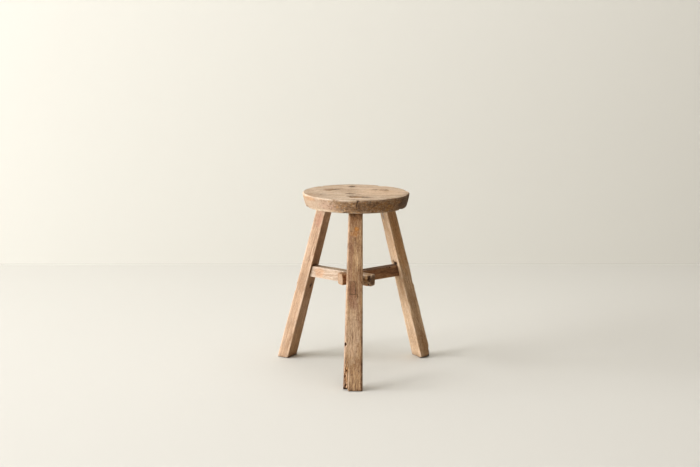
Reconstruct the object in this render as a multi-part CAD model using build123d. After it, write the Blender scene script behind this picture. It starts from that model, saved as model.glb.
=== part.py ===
"""Three-legged wooden milking stool, in millimetres.

A round slab seat stands on three splayed legs. Each leg has a shouldered tenon that
goes right through the seat and is spread by a wedge. One stretcher is tenoned through
each leg. The stretchers cross at a hub under the seat in a three-way cross lap, and
their ends run on past it.

+Z is up and the feet stand on z = 0. The front leg points along -Y, and the left and
right legs are towards the back. The origin is moved at the end to the middle of the
base of the bounding box.
"""

import os

from math import cos, radians, sin

from build123d import *

# ---------------------------------------------------------------- driving dimensions
SIDES = ("left", "right", "front")

HEIGHT = 490.0  # floor to the top of the seat

SEAT_TOP_RADIUS = 146.0  # before its edge is rounded, which takes 1 mm off
SEAT_BOTTOM_RADIUS = 137.0
SEAT_THICKNESS = 37.0
SEAT_TOP_ROUND = 4.0
SEAT_BOTTOM_ROUND = 3.0
SEAT_CENTRE = (4.0, 0.5)  # from the centre of the three feet

LEG_HEAD_AZIMUTH = {"left": 149.9, "right": 29.9, "front": 269.3}
LEG_FOOT_AZIMUTH = {"left": 149.8, "right": 29.6, "front": 268.8}
LEG_HEAD_RADIUS = 95.0  # leg centre at the seat's underside, from the seat's centre
LEG_FOOT_RADIUS = 222.5  # leg centre on the floor, from the centre of the feet
LEG_HEAD_SECTION = (30.0, 38.0)  # radial, tangential, on a level plane
LEG_FOOT_SECTION = (34.5, 51.0)
LEG_ARRIS = 3.5
LEG_TENON_SECTION = (20.0, 32.0)

WEDGE_DEPTH = 26.0
WEDGE_HEAD = 4.0
WEDGE_TIP = 1.0

STRETCHER_AZIMUTH = {"left": 330.0, "right": 210.0, "front": 90.0}
STRETCHER_FALL = 2.2  # degrees down towards the hub
STRETCHER_WIDTH = 26.0
STRETCHER_HEIGHT = 30.8
STRETCHER_ARRIS = 2.0
STRETCHER_TENON_WIDTH = 12.5
STRETCHER_REACH = 150.0  # from the hub back to the middle of the leg
STRETCHER_OVERRUN = {"left": 63.0, "right": 39.0, "front": 50.0}  # past the hub
HUB = (-5.0, 0.0, 253.6)

# ---------------------------------------------------------------- derived dimensions
SEAT_UNDERSIDE = HEIGHT - SEAT_THICKNESS
LAP_LOW = HUB[2] - STRETCHER_HEIGHT / 6
LAP_HIGH = HUB[2] + STRETCHER_HEIGHT / 6
CLEAR = 2 * STRETCHER_HEIGHT  # long enough to cut right past a stretcher


def polar(radius, azimuth):
    """A plan position as an (x, y) pair."""
    return radius * cos(radians(azimuth)), radius * sin(radians(azimuth))


def leg_axis(side, z):
    """Centre of a leg at height z, on the straight line through its head and foot."""
    head_x, head_y = polar(LEG_HEAD_RADIUS, LEG_HEAD_AZIMUTH[side])
    foot_x, foot_y = polar(LEG_FOOT_RADIUS, LEG_FOOT_AZIMUTH[side])
    along = z / SEAT_UNDERSIDE
    return (
        foot_x + (SEAT_CENTRE[0] + head_x - foot_x) * along,
        foot_y + (SEAT_CENTRE[1] + head_y - foot_y) * along,
    )


def leg_section(side, z, section):
    """A level rectangle (radial, tangential) centred on a leg's axis at height z."""
    x, y = leg_axis(side, z)
    place = Plane(origin=(x, y, z)) * Rot(0, 0, LEG_HEAD_AZIMUTH[side])
    return place * Rectangle(*section)


def leg_taper(side, low, high, low_section, high_section):
    """A straight-sided length of leg between two level planes."""
    return loft([leg_section(side, low, low_section), leg_section(side, high, high_section)])


def make_leg_body(side):
    """The leg below the seat, before any joint is cut."""
    body = leg_taper(side, 0, SEAT_UNDERSIDE, LEG_FOOT_SECTION, LEG_HEAD_SECTION)
    long_edges = body.edges().filter_by(lambda edge: edge.length > SEAT_UNDERSIDE / 2)
    return fillet(long_edges, LEG_ARRIS)


def make_leg_tenon(side):
    """The tenon on the head of the leg, flush with the seat's top."""
    return leg_taper(side, SEAT_UNDERSIDE, HEIGHT, LEG_TENON_SECTION, LEG_TENON_SECTION)


def make_wedge(side):
    """The wedge that spreads a leg tenon, lying across the leg's width."""
    width = LEG_TENON_SECTION[1]
    return leg_taper(side, HEIGHT - WEDGE_DEPTH, HEIGHT, (WEDGE_TIP, width), (WEDGE_HEAD, width))


def make_seat():
    """The slab, with its rim drawn in slightly towards the underside."""
    profile = Polyline(
        (0, SEAT_UNDERSIDE),
        (SEAT_BOTTOM_RADIUS, SEAT_UNDERSIDE),
        (SEAT_TOP_RADIUS, HEIGHT),
        (0, HEIGHT),
        close=True,
    )
    slab = revolve(Plane.XZ * make_face(profile), Axis.Z)
    rims = slab.edges().filter_by(GeomType.CIRCLE).sort_by(Axis.Z)
    slab = fillet(rims[-1], SEAT_TOP_ROUND)
    rims = slab.edges().filter_by(GeomType.CIRCLE).sort_by(Axis.Z)
    slab = fillet(rims[0], SEAT_BOTTOM_ROUND)
    return Pos(*SEAT_CENTRE, 0) * slab


def rail_place(side):
    """The frame of a stretcher: origin at the hub, +X along it and away from its leg."""
    return Pos(*HUB) * Rot(0, 0, STRETCHER_AZIMUTH[side]) * Rot(0, STRETCHER_FALL, 0)


def make_rail(side, width):
    """A plain bar from the middle of the leg, through the hub, to the free end."""
    length = STRETCHER_REACH + STRETCHER_OVERRUN[side]
    bar = Box(length, width, STRETCHER_HEIGHT)
    long_edges = bar.edges().filter_by(Axis.X)
    bar = fillet(long_edges, STRETCHER_ARRIS)
    return rail_place(side) * Pos((STRETCHER_OVERRUN[side] - STRETCHER_REACH) / 2, 0, 0) * bar


def make_tenon(side, leg_body):
    """The stretcher's tenon, trimmed flush with both faces of the leg."""
    length = 2 * (LEG_HEAD_SECTION[0] + LEG_FOOT_SECTION[0])
    bar = Box(length, STRETCHER_TENON_WIDTH, STRETCHER_HEIGHT)
    return (rail_place(side) * Pos(-STRETCHER_REACH, 0, 0) * bar) & leg_body


def lap_cut(side, low, high):
    """The plan area of a stretcher between two heights, to be cut from another one."""
    length = STRETCHER_REACH + STRETCHER_OVERRUN[side]
    block = Box(length, STRETCHER_WIDTH, high - low)
    shift = Pos((STRETCHER_OVERRUN[side] - STRETCHER_REACH) / 2, 0, 0)
    place = Pos(HUB[0], HUB[1], (low + high) / 2) * Rot(0, 0, STRETCHER_AZIMUTH[side])
    return place * shift * block


# ---------------------------------------------------------------- legs, wedges and seat
leg_bodies = {side: make_leg_body(side) for side in SIDES}
leg_tenons = {side: make_leg_tenon(side) for side in SIDES}
wedges = {side: make_wedge(side) for side in SIDES}

seat = make_seat()
for side in SIDES:
    seat -= leg_tenons[side]

# ---------------------------------------------------------------- stretchers
tenons = {side: make_tenon(side, leg_bodies[side]) for side in SIDES}
rails = {side: make_rail(side, STRETCHER_WIDTH) - leg_bodies[side] for side in SIDES}

# Three-way cross lap: the left stretcher is on top, the right one in the middle and the
# front one underneath. Each keeps a third of its height where all three meet.
below = HUB[2] - CLEAR
above = HUB[2] + CLEAR
rails["left"] -= lap_cut("right", below, LAP_HIGH)
rails["left"] -= lap_cut("front", below, LAP_LOW)
rails["right"] -= lap_cut("left", LAP_HIGH, above)
rails["right"] -= lap_cut("front", below, LAP_LOW)
rails["front"] -= lap_cut("left", LAP_LOW, above)
rails["front"] -= lap_cut("right", LAP_LOW, above)

# ---------------------------------------------------------------- nodes
nodes = {"seat": seat}
for side in SIDES:
    nodes[f"leg_{side}"] = leg_bodies[side] + leg_tenons[side] - wedges[side] - tenons[side]
    nodes[f"stretcher_{side}"] = rails[side] + tenons[side]
    nodes[f"wedge_{side}"] = wedges[side]

box = Compound(children=[node.solids()[0] for node in nodes.values()]).bounding_box()
to_origin = Pos(-box.center().X, -box.center().Y, 0)

os.makedirs("parts", exist_ok=True)
for name, node in nodes.items():
    export_step(to_origin * node, f"parts/{name}.step")
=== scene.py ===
"""Old wooden milking stool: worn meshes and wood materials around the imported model.

Every wooden piece is lofted in its own local frame (along the grain, then two
directions across it), worn in mesh code, and cut where its joints and cracks are.
Lengths in this file are millimetres until a mesh is made.
"""

import math

import bmesh
import bpy
import numpy as np
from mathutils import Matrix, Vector


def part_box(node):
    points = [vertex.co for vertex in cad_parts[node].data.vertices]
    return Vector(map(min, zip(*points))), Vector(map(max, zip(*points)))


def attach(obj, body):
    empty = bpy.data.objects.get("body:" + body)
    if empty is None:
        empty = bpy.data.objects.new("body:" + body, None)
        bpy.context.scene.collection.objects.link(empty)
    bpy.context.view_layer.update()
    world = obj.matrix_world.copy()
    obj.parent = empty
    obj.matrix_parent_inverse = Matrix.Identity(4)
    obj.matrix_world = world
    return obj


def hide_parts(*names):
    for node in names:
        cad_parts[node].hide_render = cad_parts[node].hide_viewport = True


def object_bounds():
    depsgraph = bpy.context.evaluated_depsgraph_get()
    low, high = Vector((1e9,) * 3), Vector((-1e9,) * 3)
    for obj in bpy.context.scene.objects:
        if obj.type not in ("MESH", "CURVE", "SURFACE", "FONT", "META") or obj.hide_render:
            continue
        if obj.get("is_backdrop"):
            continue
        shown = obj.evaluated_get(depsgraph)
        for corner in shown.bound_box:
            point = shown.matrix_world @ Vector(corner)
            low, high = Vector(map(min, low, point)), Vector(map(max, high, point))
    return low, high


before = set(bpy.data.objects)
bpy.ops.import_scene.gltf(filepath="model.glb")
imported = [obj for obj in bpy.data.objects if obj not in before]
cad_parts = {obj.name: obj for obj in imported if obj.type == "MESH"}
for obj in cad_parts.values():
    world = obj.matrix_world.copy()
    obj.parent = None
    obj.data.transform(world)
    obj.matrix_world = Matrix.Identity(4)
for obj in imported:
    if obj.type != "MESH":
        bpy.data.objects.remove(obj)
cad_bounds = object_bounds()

MM = 0.001
CM = 10.0
SIDES = ("left", "right", "front")

LEG_AZIMUTH = {"left": 149.9, "right": 29.9, "front": 269.3}  # of each outer face
RAIL_AZIMUTH = {"left": 330.0, "right": 210.0, "front": 90.0}  # away from the leg
RAIL_FALL = 2.2  # degrees down towards the hub
SEAT_LEAN = 0.0100  # the old seat sits a little lower on its right
JOINT_GAP = 0.45  # shrinkage round a tenon
WEDGE_DEPTH = 25  # below the top of the seat
SHARP_ANGLE = math.radians(38)
CRUMB_SIZE = 200  # vertices: every true piece has thousands


# ------------------------------------------------------------------ noise
class Noise:
    """Smooth value noise in three dimensions, from -1 to 1, fixed by its seed."""

    SIZE = 32

    def __init__(self, seed):
        self.table = np.random.default_rng(seed).uniform(-1, 1, (self.SIZE,) * 3)

    def once(self, x, y, z):
        x, y, z = np.broadcast_arrays(*(np.asarray(v, float) for v in (x, y, z)))
        cells = [np.floor(v).astype(int) for v in (x, y, z)]
        parts = [v - c for v, c in zip((x, y, z), cells)]
        parts = [p * p * (3 - 2 * p) for p in parts]
        total = np.zeros(x.shape)
        for i in (0, 1):
            for j in (0, 1):
                for k in (0, 1):
                    weight = 1.0
                    for part, step in zip(parts, (i, j, k)):
                        weight = weight * (part if step else 1 - part)
                    index = [(c + step) % self.SIZE for c, step in zip(cells, (i, j, k))]
                    total += weight * self.table[tuple(index)]
        return total

    def __call__(self, x, y=0.0, z=0.0, octaves=1):
        total, size, norm = 0.0, 1.0, 0.0
        for octave in range(octaves):
            grow, shift = 2.0**octave, 5.3 * octave
            total = total + size * self.once(
                np.asarray(x) * grow + shift, np.asarray(y) * grow + shift, np.asarray(z) * grow
            )
            norm += size
            size *= 0.55
        return total / norm


def smooth(low, high, value):
    t = np.clip((np.asarray(value, float) - low) / (high - low), 0, 1)
    return t * t * (3 - 2 * t)


# ------------------------------------------------------------------ frames read from the CAD
def points_of(piece):
    """The vertices of a piece, in millimetres."""
    points = np.zeros(len(piece.data.vertices) * 3)
    piece.data.vertices.foreach_get("co", points)
    return points.reshape(-1, 3) / MM


def cad_points(node):
    return points_of(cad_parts[node])


def middle(values):
    return (values.min() + values.max()) / 2


def half_span(values):
    return (values.max() - values.min()) / 2


low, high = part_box("seat")
SEAT_X, SEAT_Y = ((low + high) / 2 / MM)[:2]
SEAT_LOW, SEAT_HIGH = low.z / MM, high.z / MM
SEAT_RADIUS = (high.x - low.x) / 2 / MM


def settle(points):
    """Everything at the height of the seat follows the seat's slight lean."""
    points = np.array(points, float)
    share = smooth(SEAT_LOW - 60, SEAT_LOW, points[..., 2])
    points[..., 2] -= SEAT_LEAN * share * (points[..., 0] - SEAT_X)
    return points


class LegFrame:
    """Local (height, radial, tangential) coordinates that follow a leg's own axis."""

    def __init__(self, side):
        points = cad_points(f"leg_{side}")
        azimuth = math.radians(LEG_AZIMUTH[side])
        self.radial = np.array([math.cos(azimuth), math.sin(azimuth)])
        self.tangential = np.array([-math.sin(azimuth), math.cos(azimuth)])
        self.levels = np.array([0.0, SEAT_LOW, SEAT_HIGH])
        centre, half = [], []
        for level in self.levels:
            flat = points[np.abs(points[:, 2] - level) < 0.05][:, :2]
            r, t = flat @ self.radial, flat @ self.tangential
            centre.append((middle(r), middle(t)))
            half.append((half_span(r), half_span(t)))
        self.centre, self.half_sizes = np.array(centre), np.array(half)

    def half(self, s):
        """Half sizes of the leg's body (not its tenon) at a height."""
        along = np.clip(np.asarray(s, float) / SEAT_LOW, 0, 1)
        return tuple(
            self.half_sizes[0, k] + (self.half_sizes[1, k] - self.half_sizes[0, k]) * along
            for k in (0, 1)
        )

    def axis(self, s):
        return [np.interp(s, self.levels, self.centre[:, k]) for k in (0, 1)]

    def place(self, s, a, b):
        r, t = self.axis(s)
        plan = (r + a)[..., None] * self.radial + (t + b)[..., None] * self.tangential
        return np.concatenate([plan, np.asarray(s, float)[..., None]], -1)

    def local(self, points):
        s = points[:, 2]
        r, t = self.axis(s)
        return s, points[:, :2] @ self.radial - r, points[:, :2] @ self.tangential - t

    def face(self, sign):
        """A point and the normal of the outer (+1) or inner (-1) face."""
        corners = []
        for s, side in ((0.0, -1), (0.0, 1), (SEAT_LOW, 0)):
            half_a, half_b = self.half(s)
            corners.append(self.place(np.array(s), sign * half_a, side * half_b))
        normal = np.cross(corners[1] - corners[0], corners[2] - corners[0])
        return corners[0], normal / np.linalg.norm(normal)


class RailFrame:
    """Local (along, across, up) coordinates of a stretcher, with its origin at the hub."""

    def __init__(self, side):
        points = cad_points(f"stretcher_{side}")
        azimuth, fall = math.radians(RAIL_AZIMUTH[side]), math.radians(RAIL_FALL)
        level = math.cos(fall)
        self.along = np.array(
            [math.cos(azimuth) * level, math.sin(azimuth) * level, -math.sin(fall)]
        )
        self.across = np.array([-math.sin(azimuth), math.cos(azimuth), 0.0])
        self.up = np.cross(self.along, self.across)
        reach = points @ self.along
        end = points[reach > reach.max() - 0.05]
        end_a, end_b = end @ self.across, end @ self.up
        self.half_a, self.half_b = half_span(end_a), half_span(end_b)
        self.origin, self.end = np.zeros(3), 0.0
        self.origin = self.place(reach.max(), middle(end_a), middle(end_b))

    def move_to(self, hub):
        """Puts the origin at the point of the axis nearest to the hub."""
        shift = (hub[:2] - self.origin[:2]) @ self.along[:2] / (self.along[:2] @ self.along[:2])
        self.origin = self.origin + self.along * shift
        self.end = -shift

    def half(self, s):
        return self.half_a + 0 * np.asarray(s, float), self.half_b + 0 * np.asarray(s, float)

    def place(self, s, a, b):
        s, a, b = np.broadcast_arrays(*(np.asarray(v, float) for v in (s, a, b)))
        point = self.origin + s[..., None] * self.along
        return point + a[..., None] * self.across + b[..., None] * self.up

    def local(self, points):
        offset = points - self.origin
        return offset @ self.along, offset @ self.across, offset @ self.up

    def meets(self, face, a, b):
        """How far along the stretcher its fibre at (a, b) meets a plane."""
        point, normal = face
        start = self.place(0.0 * a, a, b)
        return (point - start) @ normal / (self.along @ normal)


legs = {side: LegFrame(side) for side in SIDES}
rails = {side: RailFrame(side) for side in SIDES}
pair = [rails["left"], rails["right"]]
crossing = np.linalg.solve(
    np.array([rail.across[:2] for rail in pair]),
    np.array([rail.origin[:2] @ rail.across[:2] for rail in pair]),
)
for rail in rails.values():
    rail.move_to(crossing)
hub_height = float(np.mean([rail.origin[2] for rail in rails.values()]))
tenon_points = cad_points("stretcher_front")
tenon_along = tenon_points @ rails["front"].along
tenon_tip = tenon_points[tenon_along < tenon_along.min() + 12]
tenon_width = 2 * half_span(tenon_tip @ rails["front"].across)


# ------------------------------------------------------------------ meshes
def make_object(name, vertices, faces):
    mesh = bpy.data.meshes.new(name)
    mesh.from_pydata((np.asarray(vertices) * MM).tolist(), [], faces)
    mesh.validate()
    mesh.update()
    piece = bpy.data.objects.new(name, mesh)
    bpy.context.scene.collection.objects.link(piece)
    return piece


def outline(count_a, count_b):
    """A closed walk round a unit square, with its points closer near the corners."""

    def steps(count):
        line = np.linspace(-1, 1, count, endpoint=False)
        return 0.6 * line + 0.4 * np.sin(line * math.pi / 2)

    a, b = steps(count_a), steps(count_b)
    u = np.concatenate([np.ones(count_b), -a, -np.ones(count_b), a])
    v = np.concatenate([b, np.ones(count_a), -b, -np.ones(count_a)])
    return u, v


def band(ring, next_ring):
    """Quads between two rings of vertices."""
    corners = [ring, np.roll(ring, -1), np.roll(next_ring, -1), next_ring]
    return np.stack(corners, 1).tolist()


def tube_faces(rows, columns):
    """Quads of a closed tube whose rows are consecutive rings."""
    rings = np.arange(rows * columns).reshape(rows, columns)
    return [face for two in zip(rings, rings[1:]) for face in band(*two)]


def sheet_faces(grid):
    """Quads of a sheet whose vertices are numbered by a grid."""
    corners = [grid[:-1, :-1], grid[1:, :-1], grid[1:, 1:], grid[:-1, 1:]]
    return np.stack(corners, -1).reshape(-1, 4)


def loft(name, place, rows, counts, wear, lift=None):
    """A closed bar through rows of (s, slope_a, slope_b, half_a, half_b, radius).

    radius is a number or one for each corner: (+a+b, -a+b, -a-b, +a-b). slope_a and
    slope_b tilt a row, so that it can lie on the slanting face of another piece. wear
    gives how far the surface moves outwards at (s, a, b) with outward normal (na, nb).
    """
    u, v = outline(*counts)
    s, slope_a, slope_b, half_a, half_b = (
        np.array([row[k] for row in rows], float)[:, None] for k in range(5)
    )
    radii = np.array([np.broadcast_to(row[5], 4) for row in rows], float)
    corner = np.select([(u >= 0) & (v >= 0), (u < 0) & (v >= 0), (u < 0)], [0, 1, 2], 3)
    radius = np.minimum(radii[:, corner], 0.9 * np.minimum(half_a, half_b))
    a, b = u * half_a, v * half_b
    inner_a = np.clip(a, radius - half_a, half_a - radius)
    inner_b = np.clip(b, radius - half_b, half_b - radius)
    length = np.maximum(np.hypot(a - inner_a, b - inner_b), 1e-9)
    normal_a, normal_b = (a - inner_a) / length, (b - inner_b) / length
    a, b = inner_a + radius * normal_a, inner_b + radius * normal_b
    s = s + slope_a * a + slope_b * b
    move = wear(s, a, b, normal_a, normal_b)
    a, b = a + move * normal_a, b + move * normal_b
    if lift:
        s = s + lift(s, a, b)
    points = place(s, a, b).reshape(-1, 3)
    rows_count, columns = len(rows), len(u)
    faces = tube_faces(rows_count, columns)
    for row, flip in ((0, True), (rows_count - 1, False)):
        centre = len(points)
        ring = points[row * columns : (row + 1) * columns]
        points = np.vstack([points, ring.mean(0)])
        for k in range(columns):
            edge = [row * columns + k, row * columns + (k + 1) % columns]
            faces.append([centre] + (edge[::-1] if flip else edge))
    return make_object(name, settle(points), faces)


def cap_rows(row, count, outward):
    """Rows that close a loft's end towards its middle, in the order of the loft."""
    s, slope_a, slope_b, half_a, half_b, radius = row
    shares = [1 - k / (count + 1) for k in range(1, count + 1)]
    rows = [
        (s, slope_a, slope_b, half_a * f, half_b * f, np.asarray(radius, float) * f)
        for f in shares
    ]
    return rows if outward else rows[::-1]


def blade(path, normals, sides, width, depth, seed):
    """A thin ragged wedge that cuts a crack along a path on a surface.

    normals and sides point out of the surface and across the crack, for the whole
    path or for each of its points.
    """
    noise = Noise(seed)
    count = len(path)
    t = np.linspace(0, 1, count)
    swell = np.sin(np.pi * np.clip(t, 0.02, 0.98)) ** 0.6
    half = width / 2 * swell * (1 + 0.35 * noise(t * 9))
    deep = depth * swell * (1 + 0.3 * noise(t * 7, 3.1))
    swing = min(width, 1.8)
    wander = 0.9 * swing * noise(t * 5, 7.7) + 0.35 * swing * noise(t * 17, 1.7)
    middle_line = path + sides * wander[:, None]
    ring = [
        middle_line + normals * 1.5 - sides * (half * 1.15)[:, None],
        middle_line + normals * 1.5 + sides * (half * 1.15)[:, None],
        middle_line - normals * deep[:, None] + sides * (0.3 * wander)[:, None],
    ]
    vertices = np.stack(ring, 1).reshape(-1, 3)
    faces = tube_faces(count, 3)
    last = 3 * (count - 1)
    faces += [[2, 1, 0], [last, last + 1, last + 2]]
    return vertices, faces


def face_crack(holder, face, span, lateral, width, depth, seed):
    """A crack along the grain of a bar. face is the (a, b) normal of the cut face."""
    s = np.linspace(*span, 15)
    half_a, half_b = holder.half(s)
    normal = np.array(face, float)
    side = np.array([-normal[1], normal[0]])
    a = normal[0] * half_a + side[0] * lateral
    b = normal[1] * half_b + side[1] * lateral
    path = holder.place(s, a, b)
    out = holder.place(s, a + normal[0], b + normal[1]) - path
    across = holder.place(s, a + side[0], b + side[1]) - path
    return blade(path, out, across, width, depth, seed)


def pit(holder, at, way, radius, depth, seed):
    """A ragged hollow that narrows inwards, cut at (s, a, b) along way = (s, a, b)."""
    noise = Noise(seed)
    start = holder.place(*(np.array(float(v)) for v in at))
    inward = holder.place(*(np.array(float(v) + w) for v, w in zip(at, way))) - start
    inward /= np.linalg.norm(inward)
    side = np.cross(inward, (0.3, 0.2, 0.93))
    side /= np.linalg.norm(side)
    up = np.cross(side, inward)
    vertices = []
    for level, share in ((-3.0, 1.25), (0.0, 1.0), (0.5, 0.85), (1.0, 0.35)):
        along = depth * level if level > 0 else level
        for k in range(10):
            angle = 2 * math.pi * k / 10
            x, y = math.cos(angle), math.sin(angle)
            size = radius * share * (1 + 0.4 * float(noise(3 * x, 3 * y, level)))
            vertices.append(start + inward * along + size * (side * x + 1.5 * up * y))
    faces = tube_faces(4, 10) + [list(range(9, -1, -1)), list(range(30, 40))]
    return np.array(vertices), faces


def box_of(corners):
    """A plain cutter through eight corners, four below and four above, in turn."""
    faces = [[3, 2, 1, 0], [4, 5, 6, 7]]
    faces += [[k, (k + 1) % 4, 4 + (k + 1) % 4, 4 + k] for k in range(4)]
    return np.array(corners), faces


def prism(place, low_row, high_row):
    """A plain four-sided cutter between two (s, half_a, half_b) rows."""
    corners = []
    for s, half_a, half_b in (low_row, high_row):
        for u, v in ((1, 1), (-1, 1), (-1, -1), (1, -1)):
            corners.append(place(np.array(float(s)), u * half_a, v * half_b))
    return box_of(corners)


def damage(holder, cracks, pits, crack_seed, pit_seed):
    """Cutters for the cracks and the holes of a bar."""
    cutters = [face_crack(holder, *crack, crack_seed + k) for k, crack in enumerate(cracks)]
    return cutters + [pit(holder, *hole, pit_seed + k) for k, hole in enumerate(pits)]


def face_outwards(piece):
    work = bmesh.new()
    work.from_mesh(piece.data)
    bmesh.ops.recalc_face_normals(work, faces=work.faces)
    work.to_mesh(piece.data)
    work.free()


def drop_crumbs(piece):
    """Removes the slivers that a cut leaves loose beside the body of a piece."""
    mesh = bmesh.new()
    mesh.from_mesh(piece.data)
    unseen, crumbs = set(mesh.verts), []
    while unseen:
        island, edge = [], [unseen.pop()]
        while edge:
            vertex = edge.pop()
            island.append(vertex)
            for link in vertex.link_edges:
                other = link.other_vert(vertex)
                if other in unseen:
                    unseen.remove(other)
                    edge.append(other)
        if len(island) < CRUMB_SIZE:
            crumbs += island
    bmesh.ops.delete(mesh, geom=crumbs, context="VERTS")
    mesh.to_mesh(piece.data)
    mesh.free()


def cut(piece, cutters):
    """Takes the cutters, a list of (vertices, faces), out of a piece."""
    face_outwards(piece)
    for number, (vertices, faces) in enumerate(cutters):
        tool = make_object(f"{piece.name}_cut{number}", settle(vertices), faces)
        face_outwards(tool)
        modifier = piece.modifiers.new("cut", "BOOLEAN")
        modifier.operation, modifier.solver, modifier.object = "DIFFERENCE", "MANIFOLD", tool
        bpy.context.view_layer.update()
        graph = bpy.context.evaluated_depsgraph_get()
        mesh = bpy.data.meshes.new_from_object(piece.evaluated_get(graph))
        piece.modifiers.clear()
        piece.data = mesh
        mesh.name = piece.name
        bpy.data.objects.remove(tool)
    drop_crumbs(piece)


def finish_piece(piece, node, slot, material, **values):
    """Gives a piece its wood, with the per-vertex values that the wood reads."""
    mesh = piece.data
    for name, value in values.items():
        value = np.asarray(value, np.float32)
        width = value.shape[1] if value.ndim == 2 else 1
        kind, field = {
            1: ("FLOAT", "value"), 3: ("FLOAT_VECTOR", "vector"), 4: ("FLOAT_COLOR", "color")
        }[width]
        layer = mesh.attributes.new(name, kind, "POINT")
        layer.data.foreach_set(field, value.ravel())
    mesh.materials.clear()
    mesh.materials.append(material)
    mesh.polygons.foreach_set("use_smooth", [True] * len(mesh.polygons))
    mesh.set_sharp_from_angle(angle=SHARP_ANGLE)
    mesh.update()
    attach(piece, "root")
    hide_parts(node)


def overlay(paint, rgb, share):
    """Lays one more stain, (r, g, b) in display values, over a painted (n, 4) array."""
    keep = paint[:, 3] * (1 - share)
    total = keep + share
    colour = np.array(linear(*rgb)[:3])
    mixed = paint[:, :3] * keep[:, None] + colour * share[:, None]
    return np.column_stack([mixed / np.maximum(total, 1e-6)[:, None], total])


def painted(s, a, b, spots, seed, paint=None):
    """Stains from a list of (at, half sizes, rgb, strength, raggedness)."""
    paint = np.zeros((len(s), 4)) if paint is None else paint
    for number, (at, size, rgb, strength, rough) in enumerate(spots):
        share = strength * blob(s, a, b, at, size, rough, seed + number)
        paint = overlay(paint, rgb, share)
    return paint


def blob(s, a, b, at, size, rough, seed):
    """1 inside a ragged spot at (s, a, b) with the given half sizes, 0 outside."""
    noise = Noise(seed)
    distance = np.sqrt(
        ((s - at[0]) / size[0]) ** 2 + ((a - at[1]) / size[1]) ** 2 + ((b - at[2]) / size[2]) ** 2
    )
    distance = distance + rough * noise(s / 6, a / 3, b / 3, octaves=2)
    return 1 - smooth(0.55, 1.05, distance)


# ------------------------------------------------------------------ wood material
def linear(*rgb):
    """Linear colour from 0-255 display values."""
    out = []
    for value in rgb:
        value /= 255
        out.append(value / 12.92 if value <= 0.04045 else ((value + 0.055) / 1.055) ** 2.4)
    return (*out, 1.0)


class Nodes:
    """A short way to write a node tree: a value that is a socket is linked."""

    def __init__(self, owner):
        owner.use_nodes = True
        self.tree = owner.node_tree
        self.tree.nodes.clear()

    def add(self, kind, inputs, out=0, **settings):
        node = self.tree.nodes.new(kind)
        for key, value in settings.items():
            setattr(node, key, value)
        for key, value in inputs.items():
            socket = node.inputs[key]
            if isinstance(value, bpy.types.NodeSocket):
                self.tree.links.new(value, socket)
            else:
                socket.default_value = value
        return node.outputs[out] if len(node.outputs) else None

    def math(self, operation, a, b=0.0, clamp=False):
        return self.add("ShaderNodeMath", {0: a, 1: b}, operation=operation, use_clamp=clamp)

    def times(self, a, b, clamp=False):
        return self.math("MULTIPLY", a, b, clamp)

    def plus(self, a, b):
        return self.math("ADD", a, b)

    def vector(self, operation, a, b):
        return self.add("ShaderNodeVectorMath", {0: a, 1: b}, operation=operation)

    def attribute(self, name, out):
        return self.add("ShaderNodeAttribute", {}, out, attribute_name=name)

    def noise(self, coordinates, stretch, detail=2.0, roughness=0.55, out=0):
        scaled = self.vector("MULTIPLY", coordinates, stretch)
        inputs = {"Vector": scaled, "Scale": 1.0, "Detail": detail, "Roughness": roughness}
        return self.add("ShaderNodeTexNoise", inputs, out=out)

    def range(self, value, low_in, high_in, low_out=0.0, high_out=1.0):
        inputs = {0: value, 1: low_in, 2: high_in, 3: low_out, 4: high_out}
        return self.add("ShaderNodeMapRange", inputs, interpolation_type="SMOOTHSTEP")

    def mix(self, factor, a, b):
        return self.add("ShaderNodeMix", {0: factor, 6: a, 7: b}, out=2, data_type="RGBA")


# the last colour is the dark of grime, and of painted shade in cracks, pits and other hollows
SPECK, PORE, GRIME_AND_SHADE = linear(78, 52, 34), linear(70, 48, 34), linear(46, 31, 20)
SAWN, HEART = linear(96, 70, 48), linear(74, 44, 26)  # end grain, and the heart of a knot


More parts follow.
